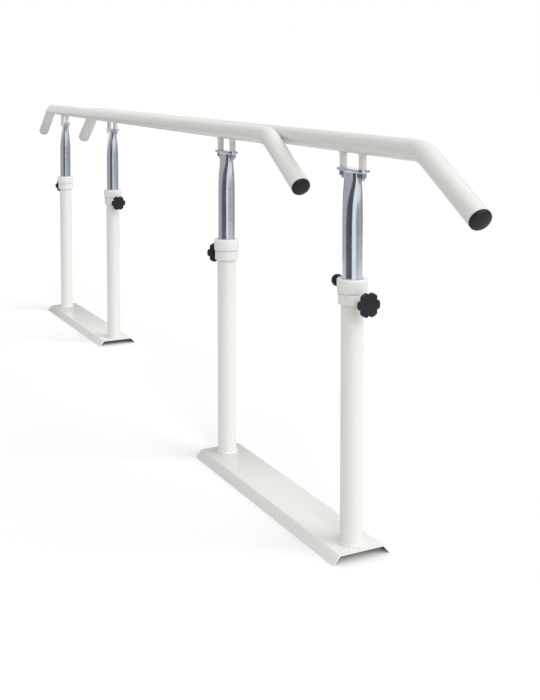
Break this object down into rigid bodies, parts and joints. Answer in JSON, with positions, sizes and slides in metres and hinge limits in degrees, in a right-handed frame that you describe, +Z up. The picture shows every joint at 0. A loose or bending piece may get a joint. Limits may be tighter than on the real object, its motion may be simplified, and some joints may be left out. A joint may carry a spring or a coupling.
{
  "type": "walking parallel bars",
  "caption": "Folding walking parallel bars: bent-end handrails on telescopic uprights with clamp knobs, joined by low channel base plates, shown folded.",
  "frame": {"origin": "on the floor, under the middle of the folded set", "axes": "+X along the rails towards the near end, +Y towards the right rail, +Z up"},
  "size_m": [3.6804, 0.2012, 0.9257],
  "materials": {
    "powder_coat": "smooth satin powder coat, off-white",
    "white_nylon": "moulded white nylon",
    "zinc_plate": "bright zinc plating, faintly blue",
    "black_plastic": "moulded black plastic, fine grain",
    "brass": "plain turned",
    "spring_steel": "oiled spring wire"
  },
  "bodies": {
    "near_base": {"near_base_plate": "powder_coat", "near_right_outer_tube": "powder_coat", "near_right_collar": "powder_coat", "near_right_bushing": "white_nylon", "near_left_outer_tube": "powder_coat", "near_left_collar": "powder_coat", "near_left_bushing": "white_nylon", "plunger_body": "zinc_plate", "plunger_spring": "spring_steel"},
    "near_right_glide": {"near_right_glide_sleeve": "black_plastic"},
    "right_rail": {"right_rail": "powder_coat", "near_right_inner_tube": "zinc_plate", "near_right_washer_outer": "zinc_plate", "near_right_washer_inner": "zinc_plate", "near_right_nut_outer": "zinc_plate", "near_right_nut_inner": "zinc_plate", "near_right_end_plug": "black_plastic", "far_right_inner_tube": "zinc_plate", "far_right_washer_outer": "zinc_plate", "far_right_washer_inner": "zinc_plate", "far_right_nut_outer": "zinc_plate", "far_right_nut_inner": "zinc_plate", "far_right_end_plug": "black_plastic"},
    "far_right_glide": {"far_right_glide_sleeve": "black_plastic"},
    "far_base": {"far_base_plate": "powder_coat", "far_right_outer_tube": "powder_coat", "far_right_collar": "powder_coat", "far_right_bushing": "white_nylon", "far_left_outer_tube": "powder_coat", "far_left_collar": "powder_coat", "far_left_bushing": "white_nylon"},
    "near_left_glide": {"near_left_glide_sleeve": "black_plastic"},
    "left_rail": {"left_rail": "powder_coat", "far_left_glide_sleeve": "black_plastic", "near_left_inner_tube": "zinc_plate", "near_left_washer_outer": "zinc_plate", "near_left_washer_inner": "zinc_plate", "near_left_nut_outer": "zinc_plate", "near_left_nut_inner": "zinc_plate", "near_left_end_plug": "black_plastic", "far_left_inner_tube": "zinc_plate", "far_left_washer_outer": "zinc_plate", "far_left_washer_inner": "zinc_plate", "far_left_nut_outer": "zinc_plate", "far_left_nut_inner": "zinc_plate", "far_left_end_plug": "black_plastic"},
    "near_right_pad": {"near_right_pressure_pad": "brass"},
    "near_right_knob": {"near_right_clamp_knob": "black_plastic", "near_right_clamp_screw": "zinc_plate"},
    "near_left_pad": {"near_left_pressure_pad": "brass"},
    "near_left_knob": {"near_left_clamp_knob": "black_plastic", "near_left_clamp_screw": "zinc_plate"},
    "far_right_pad": {"far_right_pressure_pad": "brass"},
    "far_right_knob": {"far_right_clamp_knob": "black_plastic", "far_right_clamp_screw": "zinc_plate"},
    "far_left_pad": {"far_left_pressure_pad": "brass"},
    "far_left_knob": {"far_left_clamp_knob": "black_plastic", "far_left_clamp_screw": "zinc_plate"},
    "plunger": {"plunger_pin": "zinc_plate", "plunger_knob": "black_plastic"}
  },
  "joints": [
    {"name": "right_rail_lift", "type": "slide", "parent": "near_base", "child": "near_right_glide", "axis": [0, 0, 1], "range_m": [-0.1, 0.2]},
    {"name": "right_rail_swing", "type": "hinge", "parent": "near_right_glide", "child": "right_rail", "pos_m": [1.34415, 0.0235, 0.6], "axis": [0, 0, -1], "range_deg": [0, 85.85]},
    {"name": "far_base_swing", "type": "hinge", "parent": "right_rail", "child": "far_right_glide", "pos_m": [-0.69585, 0.0235, 0.6], "axis": [0, 0, -1], "range_deg": [-85.85, 0]},
    {"name": "far_base_drop", "type": "slide", "parent": "far_right_glide", "child": "far_base", "axis": [0, 0, 1], "range_m": [-0.2, 0.1]},
    {"name": "left_rail_lift", "type": "slide", "parent": "near_base", "child": "near_left_glide", "axis": [0, 0, 1], "range_m": [-0.1, 0.2]},
    {"name": "left_rail_swing", "type": "hinge", "parent": "near_left_glide", "child": "left_rail", "pos_m": [0.69585, -0.0235, 0.6], "axis": [0, 0, -1], "range_deg": [0, 85.85]},
    {"name": "near_right_pad_travel", "type": "slide", "parent": "near_base", "child": "near_right_pad", "axis": [0.9974, 0.0723, 0], "range_m": [0, 0.0031]},
    {"name": "near_right_knob_turn", "type": "hinge", "parent": "near_right_pad", "child": "near_right_knob", "pos_m": [1.41097, 0.02834, 0.561], "axis": [0.9974, 0.0723, 0], "range_deg": [0, 720]},
    {"name": "near_left_pad_travel", "type": "slide", "parent": "near_base", "child": "near_left_pad", "axis": [-0.9974, -0.0723, 0], "range_m": [0, 0.0031]},
    {"name": "near_left_knob_turn", "type": "hinge", "parent": "near_left_pad", "child": "near_left_knob", "pos_m": [0.62903, -0.02834, 0.561], "axis": [-0.9974, -0.0723, 0], "range_deg": [0, 720]},
    {"name": "far_right_pad_travel", "type": "slide", "parent": "far_base", "child": "far_right_pad", "axis": [0.9974, 0.0723, 0], "range_m": [0, 0.0031]},
    {"name": "far_right_knob_turn", "type": "hinge", "parent": "far_right_pad", "child": "far_right_knob", "pos_m": [-0.62903, 0.02834, 0.561], "axis": [0.9974, 0.0723, 0], "range_deg": [0, 720]},
    {"name": "far_left_pad_travel", "type": "slide", "parent": "far_base", "child": "far_left_pad", "axis": [-0.9974, -0.0723, 0], "range_m": [0, 0.0031]},
    {"name": "far_left_knob_turn", "type": "hinge", "parent": "far_left_pad", "child": "far_left_knob", "pos_m": [-1.41097, -0.02834, 0.561], "axis": [-0.9974, -0.0723, 0], "range_deg": [0, 720]},
    {"name": "plunger_pull", "type": "slide", "parent": "near_base", "child": "plunger", "axis": [-0.9974, -0.0723, 0], "range_m": [0, 0.005], "stiffness_N_per_m": 1500, "springref_m": -0.004, "deforming": ["plunger_spring"]}
  ],
  "couplings": [
    {"joint": "far_base_swing", "follows": "right_rail_swing", "ratio": -1},
    {"joint": "left_rail_swing", "follows": "right_rail_swing", "ratio": 1},
    {"joint": "far_base_drop", "follows": "right_rail_lift", "ratio": -1},
    {"joint": "near_right_pad_travel", "follows": "near_right_knob_turn", "m_per_rad": 0.00023873},
    {"joint": "near_left_pad_travel", "follows": "near_left_knob_turn", "m_per_rad": 0.00023873},
    {"joint": "far_right_pad_travel", "follows": "far_right_knob_turn", "m_per_rad": 0.00023873},
    {"joint": "far_left_pad_travel", "follows": "far_left_knob_turn", "m_per_rad": 0.00023873}
  ]
}
